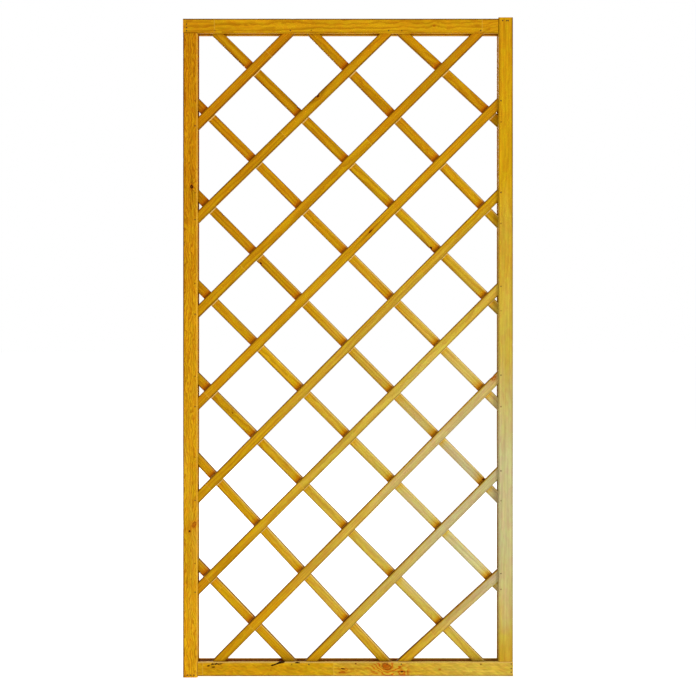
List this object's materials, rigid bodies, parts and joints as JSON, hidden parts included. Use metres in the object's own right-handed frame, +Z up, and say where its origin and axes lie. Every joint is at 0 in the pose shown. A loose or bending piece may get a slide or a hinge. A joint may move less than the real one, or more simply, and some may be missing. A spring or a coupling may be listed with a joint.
{
  "type": "trellis panel",
  "caption": "Flat rectangular garden trellis: a grooved timber frame holding two crossed layers of diagonal laths that leave diamond openings for climbing plants.",
  "frame": {"origin": "bottom centre of the panel's box, on the plane of the left post's foot and midway through the panel's depth", "axes": "+X to the right seen from the front, +Y from the front face to the back, +Z up"},
  "size_m": [0.9, 0.04, 1.8],
  "materials": {
    "frame_timber": "planed softwood, pressure treated, honey amber",
    "lath_timber": "planed softwood, pressure treated, honey amber",
    "fastener_steel": "galvanised wire, dulled"
  },
  "bodies": {
    "root": {"left_post": "frame_timber", "right_post": "frame_timber", "top_rail": "frame_timber", "bottom_rail": "frame_timber", "rising_lath_1": "lath_timber", "rising_lath_2": "lath_timber", "rising_lath_3": "lath_timber", "rising_lath_4": "lath_timber", "rising_lath_5": "lath_timber", "rising_lath_6": "lath_timber", "rising_lath_7": "lath_timber", "rising_lath_8": "lath_timber", "rising_lath_9": "lath_timber", "falling_lath_1": "lath_timber", "falling_lath_2": "lath_timber", "falling_lath_3": "lath_timber", "falling_lath_4": "lath_timber", "falling_lath_5": "lath_timber", "falling_lath_6": "lath_timber", "falling_lath_7": "lath_timber", "falling_lath_8": "lath_timber", "falling_lath_9": "lath_timber", "corner_brads": "fastener_steel", "front_lath_brads": "fastener_steel", "back_lath_brads": "fastener_steel", "crossing_staples": "fastener_steel"}
  },
  "joints": []
}
